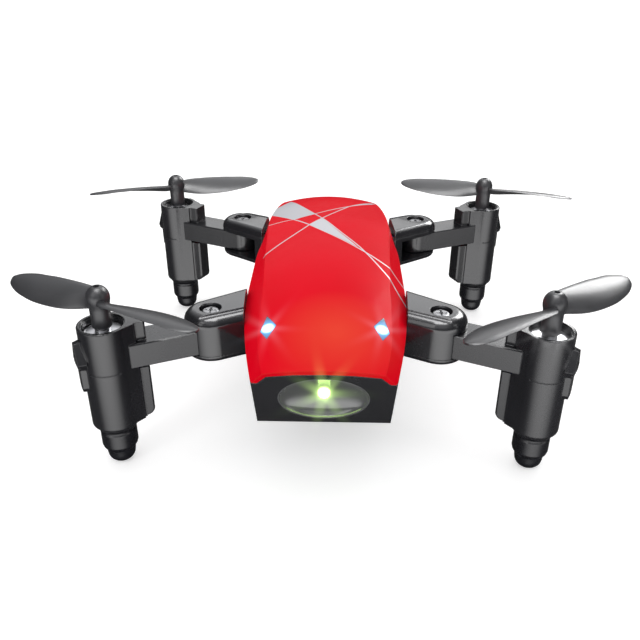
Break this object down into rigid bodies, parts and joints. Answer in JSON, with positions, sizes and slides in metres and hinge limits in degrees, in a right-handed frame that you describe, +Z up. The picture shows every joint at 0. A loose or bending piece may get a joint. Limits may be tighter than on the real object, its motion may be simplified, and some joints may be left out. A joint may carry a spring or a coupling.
{
  "type": "mini palm drone",
  "caption": "Palm-size folding multirotor: hinged arms with motor pods that stand on rounded feet, thin propellers, a glossy arched top cover, black chassis and a nose lamp.",
  "frame": {"origin": "centre of the flat underside of the lower chassis tray, below the middle of the body", "axes": "+X to the aircraft's right, +Y towards its tail (the nose lamp faces -Y), +Z up; the feet stand 12.6 mm below the origin"},
  "size_m": [0.1168, 0.0874, 0.0359],
  "materials": {
    "cover_red": "glossy",
    "black_plastic": "glossy",
    "arm_plastic": "satin",
    "reflector_chrome": "polished",
    "led_lens": "clear",
    "window_clear": "clear",
    "board_green": "satin",
    "chip_black": "matte",
    "component_tan": "matte",
    "battery_wrap": "satin",
    "foam": "matte",
    "wire_red": "satin",
    "wire_black": "satin",
    "steel": "satin",
    "motor_can": "brushed",
    "motor_cap": "matte",
    "foot_rubber": "satin",
    "prop_plastic": "glossy",
    "knob": "matte"
  },
  "bodies": {
    "chassis": {"top_cover": "cover_red", "lower_chassis": "black_plastic", "ear_frame": "black_plastic", "nose_panel": "black_plastic", "headlight_reflector": "black_plastic", "headlight_led": "led_lens", "tail_panel": "black_plastic", "side_light_window_left": "window_clear", "side_light_window_right": "window_clear", "side_leds": "led_lens", "flight_board": "board_green", "flight_board_chips": "chip_black", "motor_driver_chips": "chip_black", "crystal_and_choke": "steel", "board_passives": "component_tan", "battery": "battery_wrap", "battery_protection_board": "board_green", "battery_foam_pad": "foam", "battery_leads": "wire_red", "charge_port": "steel", "power_switch_base": "steel", "antenna_wire": "wire_black", "motor_leads_in_body": "wire_red", "pivot_screws": "steel", "cover_screws": "steel"},
    "switch_knob": {"power_switch_knob": "knob"},
    "arm_fl": {"arm_fl": "arm_plastic", "arm_lid_fl": "arm_plastic", "foot_fl": "foot_rubber", "motor_fl": "motor_can", "motor_brush_cap_fl": "motor_cap", "motor_wires_fl": "wire_red"},
    "rotor_fl": {"propeller_fl": "prop_plastic", "motor_shaft_fl": "steel"},
    "arm_fr": {"arm_fr": "arm_plastic", "arm_lid_fr": "arm_plastic", "foot_fr": "foot_rubber", "motor_fr": "motor_can", "motor_brush_cap_fr": "motor_cap", "motor_wires_fr": "wire_red"},
    "rotor_fr": {"propeller_fr": "prop_plastic", "motor_shaft_fr": "steel"},
    "arm_rl": {"arm_rl": "arm_plastic", "arm_lid_rl": "arm_plastic", "foot_rl": "foot_rubber", "motor_rl": "motor_can", "motor_brush_cap_rl": "motor_cap", "motor_wires_rl": "wire_red"},
    "rotor_rl": {"propeller_rl": "prop_plastic", "motor_shaft_rl": "steel"},
    "arm_rr": {"arm_rr": "arm_plastic", "arm_lid_rr": "arm_plastic", "foot_rr": "foot_rubber", "motor_rr": "motor_can", "motor_brush_cap_rr": "motor_cap", "motor_wires_rr": "wire_red"},
    "rotor_rr": {"propeller_rr": "prop_plastic", "motor_shaft_rr": "steel"}
  },
  "joints": [
    {"name": "power_switch_slide", "type": "slide", "parent": "chassis", "child": "switch_knob", "axis": [1, 0, 0], "range_m": [0, 0.0024]},
    {"name": "arm_fold_fl", "type": "hinge", "parent": "chassis", "child": "arm_fl", "pos_m": [-0.021, -0.0244, 0.01125], "axis": [0, 0, 1], "range_deg": [-105, 0]},
    {"name": "rotor_spin_fl", "type": "hinge", "parent": "arm_fl", "child": "rotor_fl", "pos_m": [-0.0384, -0.0324, 0.0209], "axis": [0, 0, 1], "continuous": true},
    {"name": "arm_fold_fr", "type": "hinge", "parent": "chassis", "child": "arm_fr", "pos_m": [0.021, -0.0244, 0.01125], "axis": [0, 0, 1], "range_deg": [0, 105]},
    {"name": "rotor_spin_fr", "type": "hinge", "parent": "arm_fr", "child": "rotor_fr", "pos_m": [0.0384, -0.0324, 0.0209], "axis": [0, 0, 1], "continuous": true},
    {"name": "arm_fold_rl", "type": "hinge", "parent": "chassis", "child": "arm_rl", "pos_m": [-0.021, 0.0244, 0.01125], "axis": [0, 0, 1], "range_deg": [0, 105]},
    {"name": "rotor_spin_rl", "type": "hinge", "parent": "arm_rl", "child": "rotor_rl", "pos_m": [-0.0384, 0.0324, 0.0209], "axis": [0, 0, 1], "continuous": true},
    {"name": "arm_fold_rr", "type": "hinge", "parent": "chassis", "child": "arm_rr", "pos_m": [0.021, 0.0244, 0.01125], "axis": [0, 0, 1], "range_deg": [-105, 0]},
    {"name": "rotor_spin_rr", "type": "hinge", "parent": "arm_rr", "child": "rotor_rr", "pos_m": [0.0384, 0.0324, 0.0209], "axis": [0, 0, 1], "continuous": true}
  ]
}
